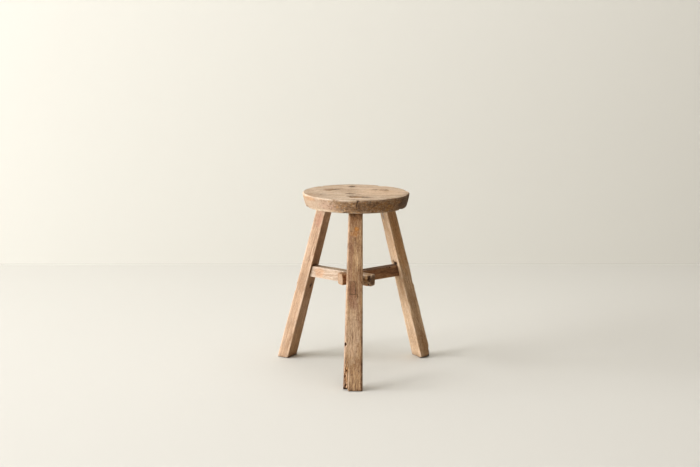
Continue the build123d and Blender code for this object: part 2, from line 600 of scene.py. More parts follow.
def wood(name, colours, rings, pith, tilt, greying, seed, contrast=1.0):
    """Old bare wood with growth rings round a pith line, fibres, pores and wear."""
    light, mid, dark, grey, worn = (linear(*rgb) for rgb in colours)
    material = bpy.data.materials.new(name)
    n = Nodes(material)
    raw = n.attribute("grain", "Vector")
    grain = n.vector("ADD", raw, (seed * 3.7, seed * 1.9, seed * 2.3))
    wear, dirt = n.attribute("wear", "Fac"), n.attribute("dirt", "Fac")
    knot, end = n.attribute("knot", "Fac"), n.attribute("end", "Fac")
    stain, stained = n.attribute("paint", "Color"), n.attribute("paint", "Alpha")

    # growth rings
    drift = n.noise(grain, (0.10, 0.42, 0.42), detail=2.0, out=1)
    drift = n.vector("MULTIPLY", n.vector("SUBTRACT", drift, (0.5, 0.5, 0.5)), (0, 1.5, 1.5))
    parts = n.add("ShaderNodeSeparateXYZ", {0: n.vector("ADD", raw, drift)}).node
    along, across, up = (parts.outputs[k] for k in range(3))
    across = n.math("SUBTRACT", n.plus(across, n.times(along, tilt[0])), pith[0])
    up = n.math("SUBTRACT", n.plus(up, n.times(along, tilt[1])), pith[1])
    reach = n.math("SQRT", n.plus(n.times(across, across), n.times(up, up)))
    reach = n.plus(reach, n.times(knot, 0.8))
    phase = n.math("FRACT", n.times(reach, rings))
    late = n.times(n.range(phase, 0.35, 0.85), n.range(phase, 1.0, 0.9))

    fibre = n.noise(grain, (0.45, 7.5, 7.5), detail=4.0, roughness=0.68)
    streak = n.noise(grain, (0.09, 1.7, 1.7), detail=4.0, roughness=0.62)
    patch = n.noise(grain, (0.13, 0.36, 0.36), detail=3.0)
    blotch = n.noise(grain, (0.45, 0.9, 0.9), detail=5.0, roughness=0.68)
    speck = n.noise(grain, (1.6, 4.5, 4.5), detail=3.0, roughness=0.7)
    pores = n.range(n.noise(grain, (1.6, 16, 16), detail=2.0), 0.58, 0.68)

    rubbed = n.times(wear, n.range(blotch, 0.36, 0.58), clamp=True)
    colour = n.mix(n.range(streak, 0.38, 0.62), mid, light)
    for share, layer in (
        (n.range(patch, 0.60, 0.38, 0.0, 0.55 * contrast), dark),
        (n.times(late, 0.42 * contrast), dark),
        (n.range(blotch, 0.46, 0.66, 0.0, greying), grey),
        (n.times(stained, n.range(blotch, 0.3, 0.5, 0.75, 1.0)), stain),
        (n.range(fibre, 0.52, 0.38, 0.0, 0.65 * contrast), dark),
        (n.range(speck, 0.57, 0.68, 0.0, 0.7 * contrast), SPECK),
        (n.range(speck, 0.44, 0.34, 0.0, 0.45 * contrast), worn),
        (n.times(pores, 0.5 * contrast), PORE),
        (n.times(rubbed, 0.5), worn),
        # grime, and painted shade where the dark mix fills cracks, pits and other hollows
        (n.times(dirt, n.range(fibre, 0.36, 0.60, 1.0, 0.7), clamp=True), GRIME_AND_SHADE),
        (n.times(end, 0.4), SAWN),
        (n.range(knot, 0.25, 0.9, 0.0, 0.9), HEART),
    ):
        colour = n.mix(share, colour, layer)

    height = n.plus(n.times(fibre, 0.55), n.times(late, -0.12))
    height = n.plus(height, n.times(pores, -0.35))
    fine = n.add("ShaderNodeBump", {"Strength": 0.55, "Distance": 0.0009, "Height": height})
    coarse = n.plus(streak, n.times(blotch, 0.6))
    bump = n.add(
        "ShaderNodeBump", {"Strength": 0.5, "Distance": 0.0016, "Height": coarse, "Normal": fine}
    )
    rough = n.range(fibre, 0.3, 0.7, 0.62, 0.86)
    rough = n.math("SUBTRACT", rough, n.times(rubbed, 0.10))
    shader = n.add(
        "ShaderNodeBsdfPrincipled",
        {"Base Color": colour, "Roughness": rough, "Normal": bump, "Specular IOR Level": 0.35},
    )
    n.add("ShaderNodeOutputMaterial", {"Surface": shader})
    return material


# light, mid, dark, grey and worn wood, in display values
LEG_COLOURS = (
    ((199, 167, 139), (177, 144, 115), (130, 98, 70), (166, 143, 122), (210, 183, 157)),
    ((203, 176, 147), (182, 151, 120), (137, 103, 71), (173, 151, 129), (212, 188, 163)),
    ((204, 168, 130), (178, 142, 106), (112, 80, 54), (168, 142, 116), (200, 168, 138)),
)
RAIL_COLOURS = (
    ((203, 182, 161), (184, 159, 135), (141, 112, 87), (175, 157, 139), (212, 194, 173)),
    # painted shade: the right stretcher gets a darker palette than the others, for the shade it
    # lies in
    ((178, 136, 98), (154, 114, 79), (108, 76, 50), (150, 120, 90), (196, 158, 122)),
    ((176, 140, 106), (150, 114, 82), (104, 74, 50), (146, 120, 96), (196, 162, 128)),
)
SEAT_COLOURS = (
    (214, 192, 168), (194, 170, 143), (140, 112, 86), (182, 166, 148), (222, 204, 182)
)
WEDGE_COLOURS = (
    (188, 164, 138), (166, 142, 116), (116, 92, 70), (160, 146, 130), (200, 178, 154)
)
LEG_PITH = {"left": (-4.0, 3.0), "right": (3.5, 4.5), "front": (-1.0, -7.5)}
LEG_TILT = {"left": (0.02, -0.03), "right": (-0.03, 0.02), "front": (0.05, 0.01)}
LEG_CONTRAST = {"left": 0.8, "right": 0.8, "front": 1.05}
leg_wood = {
    side: wood(
        f"leg_wood_{side}", LEG_COLOURS[number], contrast=LEG_CONTRAST[side], rings=1.7,
        pith=LEG_PITH[side], tilt=LEG_TILT[side], greying=0.45, seed=3 + number,
    )
    for number, side in enumerate(SIDES)
}
rail_wood = {
    side: wood(
        f"stretcher_wood_{side}", RAIL_COLOURS[number], contrast=0.85, rings=2.0,
        pith=(5.0, -2.5 - number), tilt=(0.02, 0.03), greying=0.35, seed=11 + number,
    )
    for number, side in enumerate(SIDES)
}
seat_wood = wood(
    "seat_wood", SEAT_COLOURS, rings=1.5, pith=(1.5, -16.0), tilt=(0.02, 0.035),
    greying=0.7, seed=23,
)
wedge_wood = wood(
    "wedge_wood", WEDGE_COLOURS, rings=4.0, pith=(3.0, 3.0), tilt=(0.0, 0.0),
    greying=0.4, seed=31,
)


# ------------------------------------------------------------------ legs
def depths(a, b, half_a, half_b):
    """How deep a point lies below the nearest face of a bar, and its nearest arris."""
    in_a, in_b = half_a - np.abs(a), half_b - np.abs(b)
    return np.minimum(in_a, in_b), np.hypot(np.maximum(in_a, 0), np.maximum(in_b, 0))


def bar_wear(seed, wave, grooves, bites):
    """Uneven hand-worked faces, with each bite a (at, size, depth, rough) hollow."""
    noise = Noise(seed)

    def wear(s, a, b, normal_a, normal_b):
        move = wave * noise(s / 85, a / 40, b / 40, octaves=2)
        move = move + grooves * noise(s / 60, a / 3.2, b / 3.2, octaves=2)
        for number, (at, size, depth, rough) in enumerate(bites):
            move = move - depth * blob(s, a, b, at, size, rough, seed * 50 + number)
        return move

    return wear


def corner_radii(seed, s, usual, extra, foot):
    """Arris radii that wander along a bar, for the four corners in loft's order."""
    noise = Noise(seed)
    radii = []
    for corner, size in enumerate(np.broadcast_to(usual, 4)):
        wander = noise(s / 38, 3.1 * corner, octaves=3)
        radii.append(size * (1 + extra * wander) + foot * math.exp(-s / 9))
    return np.maximum(radii, 0.7)


LEG_ARRIS = {
    "left": (2.4, 1.5, 2.0, 2.4),
    "right": (2.4, 1.8, 1.5, 2.4),
    "front": (4.6, 2.4, 2.4, 5.6),
}
FOOT_LIFT = {  # where the bottom of a foot is worn upwards: (a, b), half sizes, height
    "left": [((0, 26), (30, 9), 1.6), ((-17, 0), (7, 30), 1.2)],
    "right": [((-4, -26), (30, 14), 4.2), ((18, -26), (16, 18), 9.0), ((-17, 10), (6, 20), 1.0)],
    "front": [((20, -36), (30, 34), 9.6), ((17, 10), (5, 16), 1.4), ((-17, 0), (6, 30), 1.4)],
}
LEG_BITES = {  # (s, a, b), half sizes, depth, raggedness
    "left": [
        ((318, -14, 20), (16, 5, 5), 1.6, 0.5),
        ((120, 17, -24), (30, 5, 5), 1.8, 0.5),
        ((60, -16, 24), (22, 5, 5), 1.5, 0.5),
        ((205, 16, 22), (14, 4, 4), 1.4, 0.5),
    ],
    "right": [
        ((286, -16, 14), (12, 6, 6), 2.0, 0.6),
        ((10, 17, -24), (24, 8, 8), 3.4, 0.4),
        ((150, -17, -22), (22, 5, 5), 1.5, 0.5),
        ((230, 16, -20), (18, 5, 5), 1.6, 0.5),
    ],
    "front": [
        ((12, 17, -26), (34, 9, 11), 4.6, 0.6),
        ((45, 17, -27), (40, 5, 7), 3.0, 0.9),
        ((117, 17, -24), (8, 5, 5), 2.6, 0.4),
        ((2, -17, 24), (18, 6, 6), 2.0, 0.5),
        ((300, 16, 19), (20, 4, 4), 1.4, 0.5),
    ],
}
LEG_KNOTS = {  # (s, a, b), half sizes
    "left": [((214, -16, -4), (7, 8, 4))],
    "right": [((284, -16, 10), (5, 8, 4))],
    "front": [((118, 17, -22), (5, 8, 4))],
}
LEG_CRACKS = {  # (a, b) normal of the face, span, distance from its middle, width, depth
    "left": [((0, 1), (255, 400), 4.0, 0.9, 5.0), ((0, 1), (0, 60), -9.0, 1.2, 7.0)],
    "right": [((0, -1), (20, 160), 3.0, 1.0, 6.0), ((-1, 0), (330, 420), 6.0, 0.9, 5.0)],
    "front": [
        ((1, 0), (232, 247), 8.5, 1.8, 6.0),
        ((1, 0), (-4, 62), -14.5, 1.6, 8.0),
        ((1, 0), (-4, 30), -20.0, 1.8, 9.0),
        ((1, 0), (34, 84), -19.5, 1.8, 6.0),
        ((0, -1), (-4, 74), 8.0, 3.0, 8.0),
        ((1, 0), (-4, 36), 6.0, 0.8, 5.0),
        ((1, 0), (-4, 46), -9.5, 1.3, 6.0),
        ((1, 0), (-4, 24), -4.5, 0.9, 5.0),
        ((1, 0), (96, 190), -3.0, 0.9, 4.0),
    ],
}
LEG_PITS = {  # (s, a, b), direction inwards, radius, depth
    "left": [((214, -15, -4), (0, 1, 0), 2.2, 3.0)],
    "right": [
        ((279, -15, 0), (0, 1, 0), 3.6, 4.5),
        ((285, -15, 8), (0, 1, 0), 2.4, 4.0),
        ((281, -15, -8), (0, 1, 0), 3.0, 4.0),
    ],
    "front": [
        ((118, 16.5, -22.0), (0, -1, 0.6), 3.6, 9.0),
        ((14, 16, -21), (0, -1, 0.5), 3.6, 8.0),
        ((38, 16.5, -21.5), (0, -1, 0.5), 3.0, 7.0),
        ((52, 17, -17), (0, -1, 0.2), 1.9, 5.0),
    ],
}
BROWN, UMBER, OCHRE, PLUM = (96, 66, 44), (66, 44, 28), (190, 128, 64), (136, 98, 80)
LEG_STAINS = {  # (s, a, b), half sizes, colour, strength, raggedness
    "left": [
        ((405, -2, 19), (26, 14, 12), (168, 118, 100), 0.5, 0.5),
        # painted light: this spot and the one at s 30 warm the colour of the leg's inner face,
        # which lies in shade, for the warm tone of that shade
        ((300, -15, 0), (150, 5, 30), (150, 108, 70), 0.35, 0.5),
        ((214, -15, -4), (14, 5, 8), UMBER, 0.6, 0.4),
        ((30, -15, 0), (70, 5, 30), (176, 138, 96), 0.5, 0.5),
    ],
    "right": [
        ((418, -14, 5), (16, 6, 5), (120, 122, 124), 0.85, 0.4),
        ((274, -14, 2), (14, 6, 12), BROWN, 0.75, 0.5),
        ((276, -15, -2), (9, 6, 12), (46, 31, 20), 0.9, 0.6),
        ((205, -15, -4), (26, 5, 8), (150, 112, 80), 0.5, 0.6),
        # painted light: this spot and the next lighten and warm the leg's right face, which lies
        # in shade, for the warm tone of that shade
        ((360, 0, -19), (150, 20, 6), (182, 134, 82), 0.5, 0.5),
        ((40, 6, -24), (60, 14, 8), (146, 108, 66), 0.4, 0.5),
    ],
    "front": [
        ((150, 17, -2), (90, 6, 24), (216, 186, 158), 0.5, 0.5),
        ((330, 16, -13), (110, 6, 10), PLUM, 0.5, 0.5),
        ((240, 16, -6), (36, 6, 14), PLUM, 0.5, 0.6),
        ((216, 16, 3), (12, 6, 8), PLUM, 0.45, 0.5),
        ((430, 15, 0), (40, 8, 30), (150, 116, 88), 0.4, 0.5),
        ((410, 15, 4), (6, 5, 7), OCHRE, 0.95, 0.3),
        ((398, 15, -1), (10, 5, 12), (176, 120, 66), 0.6, 0.5),
        ((184, 17, 12), (34, 6, 8), (132, 98, 76), 0.3, 0.6),
        ((450, 15, 0), (26, 8, 30), (128, 88, 52), 0.6, 0.5),
        ((30, 17, -19), (44, 8, 9), (196, 146, 98), 0.65, 0.6),
        ((26, 17, -12), (34, 6, 6), (224, 190, 158), 0.7, 0.6),
        ((100, 17, -2), (14, 5, 3), (206, 168, 136), 0.6, 0.4),
        # painted shade: this strip and the next darken the leg's right arris, which faces away
        # from the window
        ((100, 17, 23.5), (150, 16, 4.6), (66, 43, 27), 0.9, 0.2),
        ((340, 17, 25.5), (170, 16, 4.6), (66, 43, 27), 0.9, 0.25),
        ((130, 10, -24), (180, 16, 6.0), (140, 114, 94), 0.85, 0.3),
        ((350, 10, -24), (130, 16, 7.0), (88, 68, 54), 1.0, 0.2),
        ((118, 17, -18), (9, 6, 3.4), (232, 200, 170), 0.75, 0.4),
    ],
}


def build_leg(side, number):
    holder = legs[side]
    tenon_a, tenon_b = holder.half_sizes[2]
    rows = []
    for s in np.linspace(0, SEAT_LOW, 236):
        half_a, half_b = holder.half(s)
        radii = corner_radii(40 + number, s, LEG_ARRIS[side], 0.45, 1.6)
        rows.append((s, 0, 0, half_a, half_b, radii))
    foot_row = (0.0, 0, 0, *holder.half(0.0), rows[0][5])
    rows = cap_rows(foot_row, 8, outward=False) + rows
    for s in np.linspace(SEAT_LOW, SEAT_HIGH, 12):
        rows.append((s, 0, 0, tenon_a, tenon_b, 1.2))
    rows += cap_rows(rows[-1], 8, outward=True)
    wear = bar_wear(60 + number, 0.38, 0.2, LEG_BITES[side])

    def lift(s, a, b):
        rise = 0 * s * a
        for index, (at, size, height) in enumerate(FOOT_LIFT[side]):
            spot = blob(0 * a + 0 * s, a, b, (0, *at), (1, *size), 0.35, 700 + index)
            rise = rise + height * spot
        return rise * smooth(34, 0, s)

    piece = loft(f"leg_{side}_worn", holder.place, rows, (20, 28), wear, lift)

    rail = rails[side]
    outer, inner = holder.face(1), holder.face(-1)
    zero = np.array(0.0)
    start = float(rail.meets(outer, zero, zero)) - 12
    stop = float(rail.meets(inner, zero, zero)) + 12
    tenon_half = tenon_width / 2 + JOINT_GAP
    mortise = (tenon_half, rail.half_b + JOINT_GAP)
    slot_low, slot_high = SEAT_HIGH - WEDGE_DEPTH - 1, SEAT_HIGH + 3
    cutters = [
        prism(rail.place, (start, *mortise), (stop, *mortise)),
        prism(holder.place, (slot_low, 0.9, tenon_b + 3), (slot_high, 2.7, tenon_b + 3)),
    ]
    seeds = 200 + 10 * number, 240 + 10 * number
    cut(piece, cutters + damage(holder, LEG_CRACKS[side], LEG_PITS[side], *seeds))

    points = points_of(piece)
    s, a, b = holder.local(points)
    half_a, half_b = holder.half(s)
    below, edge = depths(a, b, half_a, half_b)
    # darker inside cracks, pits and the mortise: grime, and painted shade in the hollows
    sunk = smooth(1.4, 3.2, below) * ((s > 1.5) & (s < SEAT_LOW - 2))
    knots = [blob(s, a, b, *knot, 0.25, 300 + k) for k, knot in enumerate(LEG_KNOTS[side])]
    near_seat = smooth(SEAT_LOW - 14, SEAT_LOW - 1, s) * (s < SEAT_LOW + 3)
    near_floor = 0.3 * smooth(16, 1, s) + 0.5 * smooth(3.5, 0.5, s)
    across, upward = rail.local(points)[1:]
    ring = np.maximum(np.abs(across) - tenon_half, np.abs(upward) - rail.half_b)
    inside = (s > 180) & (s < 330)  # the stretch of the leg with the mortise
    joint = np.where(inside & (np.abs(ring) < 6), smooth(3.8, 0.6, np.abs(ring)), 0)
    joint = joint * (0.7 + 0.4 * Noise(77)(s / 9, b / 7))
    joint = joint * np.where((across < 0) | (upward < -0.8 * rail.half_b), 1.0, 0.4)
    finish_piece(
        piece, f"leg_{side}", "leg_wood", leg_wood[side],
        grain=np.stack([s, a, b], 1) / CM,
        wear=smooth(6.5, 1.5, edge),
        dirt=np.clip(0.5 * near_seat + near_floor + joint + np.where(s < 90, 0.5, 1) * sunk, 0, 1),
        knot=np.clip(sum(knots), 0, 1),
        end=0.9 * (s < 0.4) + 0.3 * (s > SEAT_HIGH - 1.5),
        paint=painted(s, a, b, LEG_STAINS[side], 800 + 20 * number),
    )


# ------------------------------------------------------------------ stretchers
LAP_CUTS = {  # the mate, the side (above or below) cut away, the level of the lap
    "left": (("right", -1, 1), ("front", -1, -1)),
    "right": (("left", 1, 1), ("front", -1, -1)),
    "front": (("left", 1, -1), ("right", 1, -1)),
}
RAIL_BITES = {
    "left": [((61, -12, 12), (9, 9, 8), 3.6, 0.5), ((58, -13, -14), (8, 5, 5), 2.4, 0.5),
             ((-70, -13, 15), (26, 4, 4), 1.2, 0.5)],
    "right": [((-60, 13, 15), (24, 4, 4), 1.2, 0.5), ((37, 12, 14), (5, 4, 4), 1.6, 0.4)],
    "front": [((-90, -13, 15), (20, 4, 4), 1.3, 0.5), ((46, 12, 14), (8, 6, 6), 2.2, 0.5)],
}
RAIL_CRACKS = {
    "left": [((-1, 0), (22, 66), -2.0, 1.3, 6.0)],
    "right": [((1, 0), (-110, -40), 3.0, 0.9, 4.0)],
    "front": [((0, -1), (-90, -20), 2.0, 1.0, 4.0), ((1, 0), (20, 53), 4.0, 1.1, 5.0)],
}
RAIL_PITS = {
    "left": [
        ((58, -13, 6), (-0.3, 0.9, -0.2), 5.6, 7.0),
        ((57, -12.5, -12.5), (-0.2, 1, 0.3), 3.0, 6.0),
    ],
    "right": [((-112, 12, 13), (0, -1, -0.6), 2.6, 4.0), ((-104, 12, 14), (0, -1, -1), 1.8, 3.0)],
    "front": [((44, 8, 8), (-1, -0.3, 0), 3.0, 6.0)],
}
RAIL_STAINS = {
    "left": [
        ((50, 0, 0), (16, 20, 22), (172, 132, 80), 0.75, 0.3),
        # a darker end face: end grain, and painted shade on a face turned away from the window
        ((66, 0, 0), (7, 20, 22), (94, 66, 34), 0.8, 0.2),
        # painted highlight: an orange glint along the lower front arris of the end
        ((56, -13, -13), (12, 5, 4), (190, 120, 54), 0.8, 0.4),
        # painted light: a narrow lit band where window light slips past the front leg
        ((50, -13, 4), (4, 5, 9), (204, 168, 124), 0.8, 0.3),
        # painted shade: the hollow in the end, in the front leg's shadow
        ((60, -13, 5), (6, 6, 9), (60, 42, 26), 0.85, 0.3),
        ((-100, -13, 0), (18, 5, 18), (190, 140, 100), 0.5, 0.5),
    ],
    "right": [
        ((-112, 12, 6), (34, 10, 20), (86, 60, 40), 0.45, 0.6),
        ((-70, 13, -12), (60, 4, 6), (126, 88, 56), 0.5, 0.5),
        # painted shadow: a dark strip along the top of the stretcher, which lies in the shadow of
        # the seat and legs
        ((-80, 2, 16), (110, 20, 5), (50, 34, 22), 0.9, 0.2),
        ((39, 0, 0), (10, 16, 18), (184, 156, 130), 0.9, 0.3),
        ((26, 12, 0), (8, 6, 18), (190, 140, 104), 0.6, 0.4),
    ],
    "front": [
        ((-40, 0, 0), (90, 20, 20), (130, 94, 64), 0.3, 0.6),
        ((-190, 0, 0), (40, 20, 30), (150, 112, 88), 0.8, 0.4),
    ],
}


def build_rail(side, number):
    rail, leg = rails[side], legs[side]
    outer, inner = leg.face(1), leg.face(-1)
    zero = np.array(0.0)

    def tilted(face, lift):
        """The row (s, slope_a, slope_b) that lies on a leg's face, lifted off it."""
        s = float(rail.meets(face, zero, zero))
        slope_a = float(rail.meets(face, zero + 1, zero)) - s
        slope_b = float(rail.meets(face, zero, zero + 1)) - s
        return s + lift, slope_a, slope_b

    tip, shoulder = tilted(outer, 0.5), tilted(inner, 0.35)
    tenon_half = tenon_width / 2
    rows = []
    for f in np.linspace(0, 1, 22):
        s, slope_a, slope_b = (x + (y - x) * f for x, y in zip(tip, shoulder))
        rows.append((s, slope_a, slope_b, tenon_half, rail.half_b, 1.0))
    rows = cap_rows(rows[0], 5, outward=False) + rows
    for f in np.linspace(0, 1, 120):
        s, slope_a, slope_b = (x + (y - x) * f for x, y in zip(shoulder, (rail.end, 0, 0)))
        radii = corner_radii(80 + number, rail.end - s, 1.7, 0.5, 1.6)
        rows.append((s, slope_a, slope_b, rail.half_a, rail.half_b, radii))
    rows += cap_rows(rows[-1], 7, outward=True)
    wear = bar_wear(90 + number, 0.35, 0.18, RAIL_BITES[side])
    piece = loft(f"stretcher_{side}_worn", rail.place, rows, (18, 20), wear)

    cutters = []
    for other, above, level in LAP_CUTS[side]:
        lap = hub_height + level * rail.half_b / 3
        low_z, high_z = (lap - 0.1, lap + 60) if above > 0 else (lap - 60, lap + 0.1)
        mate = rails[other]
        corners = []
        for z in (low_z, high_z):
            for s, a in ((90, 1), (-90, 1), (-90, -1), (90, -1)):
                a = a * (mate.half_a + 0.15)
                plan = mate.origin[:2] + s * mate.along[:2] + a * mate.across[:2]
                corners.append(np.array([plan[0], plan[1], z]))
        cutters.append(box_of(corners))
    seeds = 260 + 10 * number, 280 + 10 * number
    cut(piece, cutters + damage(rail, RAIL_CRACKS[side], RAIL_PITS[side], *seeds))

    points = points_of(piece)
    s, a, b = rail.local(points)
    below, edge = depths(a, b, rail.half_a, rail.half_b)
    # darker inside cracks and pits: grime, and painted shade in the hollows
    sunk = smooth(1.4, 3.2, below) * (s < rail.end - 1.5) * (s > rail.end - 200)
    edge = np.minimum(edge, np.hypot(rail.end - s, np.maximum(rail.half_b - np.abs(b), 0)))
    _, leg_a, _ = leg.local(points)
    near_leg = smooth(12, 1, np.abs(leg_a + leg.half(points[:, 2])[0]))
    finish_piece(
        piece, f"stretcher_{side}", "stretcher_wood", rail_wood[side],
        grain=np.stack([s, a, b], 1) / CM,
        wear=smooth(5.5, 1.0, edge),
        dirt=np.clip(0.45 * near_leg + 0.3 * smooth(26, 18, np.abs(s)) + 0.8 * sunk, 0, 1),
        knot=0 * s,
        paint=painted(s, a, b, RAIL_STAINS[side], 900 + 20 * number),
        end=0.8 * (s > rail.end - 0.4) + 0.35 * (leg_a > leg.half(points[:, 2])[0] - 1.2),
    )


# ------------------------------------------------------------------ wedges
def build_wedge(side, number):
    holder = legs[side]
    tenon_b = holder.half_sizes[2][1]
    rows = []
    low_end, high_end = SEAT_HIGH - WEDGE_DEPTH, SEAT_HIGH + 0.5
    for s in np.linspace(low_end, high_end, 16):
        f = (s - low_end) / (WEDGE_DEPTH + 0.5)
        rows.append((s, 0, 0, 0.5 + 1.55 * f, tenon_b - 0.6, 0.4))
    rows = cap_rows(rows[0], 3, outward=False) + rows + cap_rows(rows[-1], 3, outward=True)
    wear = bar_wear(120 + number, 0.12, 0.1, [])
    piece = loft(f"wedge_{side}_worn", holder.place, rows, (6, 24), wear)
    face_outwards(piece)
    s, a, b = holder.local(points_of(piece))
    finish_piece(
        piece, f"wedge_{side}", "wedge_wood", wedge_wood,
        grain=np.stack([s, a, b], 1) / CM,
        wear=smooth(0.8, 0.2, np.abs(np.abs(a) - 2.0)) * (s > SEAT_HIGH - 1),
        dirt=0.12 + 0 * s,
        knot=0 * s,
        paint=np.zeros((len(s), 4)),
        end=0.3 * (s > SEAT_HIGH - 1),
    )


for build in (build_leg, build_rail, build_wedge):
    for number, side in enumerate(SIDES):
        build(side, number)


# ------------------------------------------------------------------ seat
GRID = 150  # steps across the seat's top
SEAT_ROUND_TOP, SEAT_ROUND_LOW = 3.6, 3.4
seat_low_points = cad_points("seat")
seat_low_points = seat_low_points[seat_low_points[:, 2] < SEAT_LOW + 0.05]
SEAT_LOW_RADIUS = half_span(seat_low_points[:, 0]) + 2.4
SEAT_CHIPS = [  # (x, y, z), half sizes, depth
    ((-96, 106, SEAT_HIGH), (8, 8, 5), 3.2),
    ((8, -144, SEAT_HIGH), (3, 4, 4), 2.2),
    ((33, -141, SEAT_HIGH - 4), (5, 4, 3), 2.0),
    ((-30, -137, SEAT_LOW), (16, 6, 4), 1.8),
    ((120, -66, SEAT_LOW), (14, 10, 6), 2.0),
    ((-128, -40, SEAT_LOW + 2), (10, 16, 6), 1.6),
    ((70, 122, SEAT_HIGH), (12, 8, 4), 2.2),
    ((139, 40, SEAT_HIGH), (5, 12, 5), 1.8),
]


def build_seat():
    noise, fine = Noise(7), Noise(8)
    line = np.linspace(-1, 1, GRID + 1)
    u, v = np.meshgrid(line, line, indexing="ij")
    disc_x, disc_y = u * np.sqrt(1 - v * v / 2), v * np.sqrt(1 - u * u / 2)
    ahead, still = np.arange(GRID), np.zeros(GRID, int)
    i = np.concatenate([ahead, still + GRID, GRID - ahead, still])
    j = np.concatenate([still, ahead, still + GRID, GRID - ahead])  # once round the grid
    way = np.stack([disc_x[i, j], disc_y[i, j]], 1)
    way /= np.linalg.norm(way, axis=1)[:, None]

    def plan_size(x, y):
        """How far the outline stands from a true circle in the direction of (x, y)."""
        length = np.maximum(np.hypot(x, y), 1e-6)
        x, y = x / length, y / length
        return 0.9 * noise(x * 2.2, y * 2.2, octaves=2) + 0.25 * fine(x * 34, y * 34)

    top_radius = SEAT_RADIUS - SEAT_ROUND_TOP
    low_radius = SEAT_LOW_RADIUS - SEAT_ROUND_LOW

    def sheet(radius, height, sign):
        x, y = disc_x * radius, disc_y * radius
        share = np.hypot(x, y) / radius
        grow = 1 + share**6 * plan_size(x, y) / radius
        x, y = x * grow, y * grow
        ridge = 0.22 * noise(x / 70, y / 3.4, octaves=2) + 0.45 * noise(x / 60, y / 45, 3.0)
        z = height + sign * ridge - (0.7 * (1 - share**2) if sign > 0 else 0)
        z = z - sign * 0.5 * smooth(0.93, 1.0, share)
        return np.stack([x, y, z], -1)

    top = sheet(top_radius, SEAT_HIGH, 1)
    low_sheet = sheet(low_radius, SEAT_LOW + 0.3, -1)

    def arris(radius, level, size, up, angles):
        """A rounded arris of the rim, as rows of (radius, height)."""
        return [
            (radius - size * (1 - math.cos(t)), level - up * size * (1 - up * math.sin(t)))
            for t in (math.radians(angle) for angle in angles)
        ]

    profile = arris(SEAT_RADIUS, SEAT_HIGH, SEAT_ROUND_TOP, 1, np.linspace(80, 6, 6))
    for f in np.linspace(0.04, 0.96, 15):
        height = SEAT_HIGH - SEAT_ROUND_TOP + f * (
            SEAT_LOW + SEAT_ROUND_LOW - SEAT_HIGH + SEAT_ROUND_TOP
        )
        bulge = 0.8 * math.sin(math.pi * f)
        profile.append((SEAT_RADIUS + (SEAT_LOW_RADIUS - SEAT_RADIUS) * f + bulge, height))
    profile += arris(SEAT_LOW_RADIUS, SEAT_LOW, SEAT_ROUND_LOW, -1, np.linspace(-8, -80, 5))
    rings = []
    way_x, way_y = way.T
    size = plan_size(way_x, way_y)
    for radius, height in profile:
        share = (SEAT_HIGH - height) / (SEAT_HIGH - SEAT_LOW)
        local = 0.35 * noise(way_x * 5, way_y * 5, height / 9, octaves=2)
        local = local + 0.16 * fine(way_x * 48, way_y * 48, height / 60)
        out = radius + size * (1 - 0.3 * share) + local
        rings.append(np.column_stack([way * out[:, None], np.full(len(way), height)]))

    count = GRID + 1
    grid = np.arange(count * count).reshape(count, count)
    points = [top.reshape(-1, 3)]
    faces = sheet_faces(grid).tolist()
    border = grid[i, j]
    offset = count * count
    for ring in rings:
        points.append(ring)
        fresh = offset + np.arange(len(way))
        faces += band(border, fresh)
        border, offset = fresh, offset + len(way)
    under = grid + offset
    points.append(low_sheet.reshape(-1, 3))
    faces += band(border, under[i, j])
    faces += sheet_faces(under)[:, [0, 3, 2, 1]].tolist()
    points = np.vstack(points)

    for number, (at, size_, depth) in enumerate(SEAT_CHIPS):
        x, y, z = points.T
        inside = blob(x, y, z, at, size_, 0.45, 400 + number)
        out = np.column_stack([x, y, 0 * x])
        out /= np.maximum(np.linalg.norm(out, axis=1), 1e-6)[:, None]
        up = 0.8 if at[2] > (SEAT_LOW + SEAT_HIGH) / 2 else -0.8
        points -= depth * inside[:, None] * (0.6 * out + np.array([0, 0, up]))
    points += (SEAT_X, SEAT_Y, 0)
    return make_object("seat_worn", settle(points), faces)


seat = build_seat()
SEAT_CRACKS = [
    # on the top, from the seat's centre: start (x, y), end (x, y), width, depth
    ((-78, 49), (-42, 54), 4.6, 5.0),
    ((-85, 43), (-74, 51), 9.0, 9.0),
    ((42, 50), (76, 42), 3.6, 4.5),
    ((74, 40), (90, 47), 9.0, 9.0),
    ((-26, -68), (10, -71), 5.0, 5.0),
    ((-2, -96), (36, -84), 4.6, 4.5),
    ((-30, -28), (4, -31), 4.4, 4.0),
    ((-28, -21), (-8, -20), 3.4, 4.0),
    ((-26, 104), (4, 102), 8.5, 8.5),
    ((-70, 12), (-30, 16), 1.4, 2.0),
    ((30, 8), (96, 2), 1.2, 2.0),
    ((-60, -96), (-20, -100), 1.6, 2.0),
]
RIM_CRACKS = [
    # azimuth, low and high share of the rim's height, width, depth
    (-88.8, 0.62, 1.06, 3.4, 8.0),
    (-89.6, 0.25, 0.70, 1.6, 6.0),
    (-75.0, 0.78, 1.05, 2.6, 6.0),
    (-101.0, 0.0, 0.45, 1.0, 5.0),
    (172.0, 0.1, 0.9, 1.0, 6.0),
    (-32.0, 0.45, 1.02, 1.6, 7.0),
    (97.0, 0.15, 0.8, 1.0, 5.0),
]
# the first colour is grime and painted shade, laid over the cracks of the top
CRACK_GRIME_AND_SHADE, DARK, MOSS = (40, 27, 17), (70, 48, 30), (158, 114, 62)
CREAM, ROSE = (214, 192, 168), (184, 150, 130)
